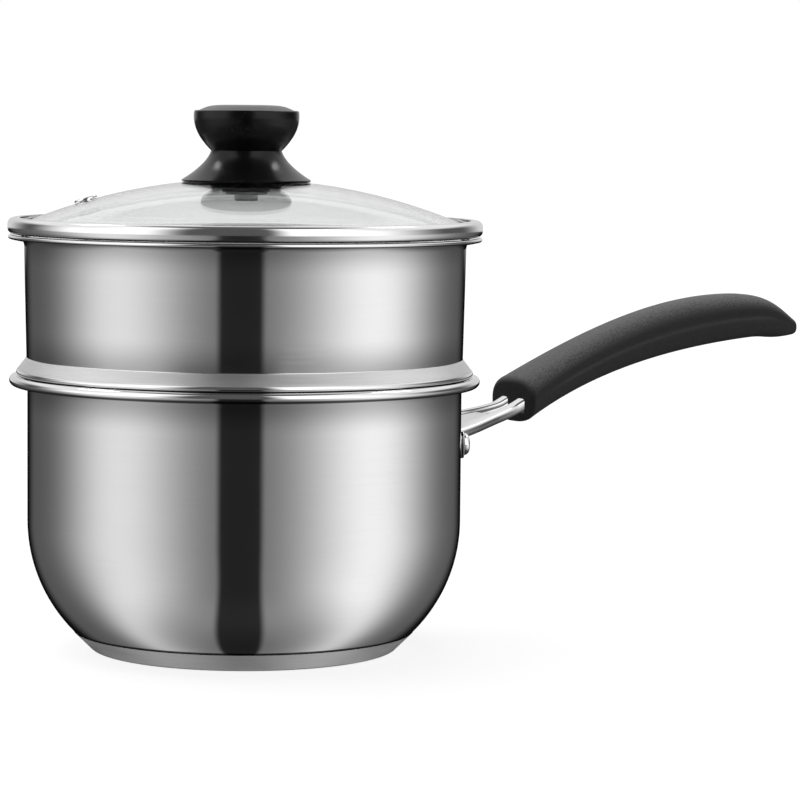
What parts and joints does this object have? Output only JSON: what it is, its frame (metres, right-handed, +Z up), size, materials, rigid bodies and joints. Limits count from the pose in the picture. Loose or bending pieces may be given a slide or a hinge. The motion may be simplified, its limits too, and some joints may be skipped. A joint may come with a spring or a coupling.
{
  "type": "milk pan with steamer insert",
  "caption": "Round-bottomed stainless milk pan with a long curved handle, a lift-out steamer insert and a domed glass lid with a knob and a steam vent.",
  "frame": {"origin": "on the pan's axis, on the flat underside of the base", "axes": "+Z up along the pan's axis, +X along the handle, away from the pan"},
  "size_m": [0.3415, 0.1756, 0.2018],
  "materials": {
    "mirror_steel": "mirror-polished stainless steel",
    "satin_steel": "satin stainless steel",
    "aluminium_disc": "plain rolled aluminium",
    "soft_black": "soft-touch black phenolic with a fine grain",
    "gloss_black": "polished black phenolic",
    "satin_grey": "satin dark grey",
    "silicone": "translucent white silicone",
    "brass": "turned brass",
    "clear_glass": "clear tempered glass"
  },
  "bodies": {
    "pan": {"pan_shell": "mirror_steel", "base_core": "aluminium_disc", "base_cap": "satin_steel", "handle_bracket": "mirror_steel", "rivet_front": "mirror_steel", "rivet_rear": "mirror_steel", "handle_grip": "soft_black", "handle_screw_front": "satin_steel", "handle_screw_rear": "satin_steel"},
    "steamer": {"steamer_shell": "mirror_steel"},
    "lid": {"lid_glass": "clear_glass", "lid_band": "mirror_steel", "lid_seal": "silicone", "vent_eyelet": "mirror_steel", "knob_gasket_top": "silicone", "knob_flange": "gloss_black", "knob_cup": "gloss_black", "knob_cap": "satin_grey", "knob_insert": "brass", "knob_gasket_under": "silicone", "knob_washer": "satin_steel", "knob_screw": "satin_steel"}
  },
  "joints": [
    {"name": "steamer_lift", "type": "slide", "parent": "pan", "child": "steamer", "axis": [0, 0, 1], "range_m": [0, 0.2]},
    {"name": "lid_lift", "type": "slide", "parent": "steamer", "child": "lid", "axis": [0, 0, 1], "range_m": [0, 0.2]}
  ]
}
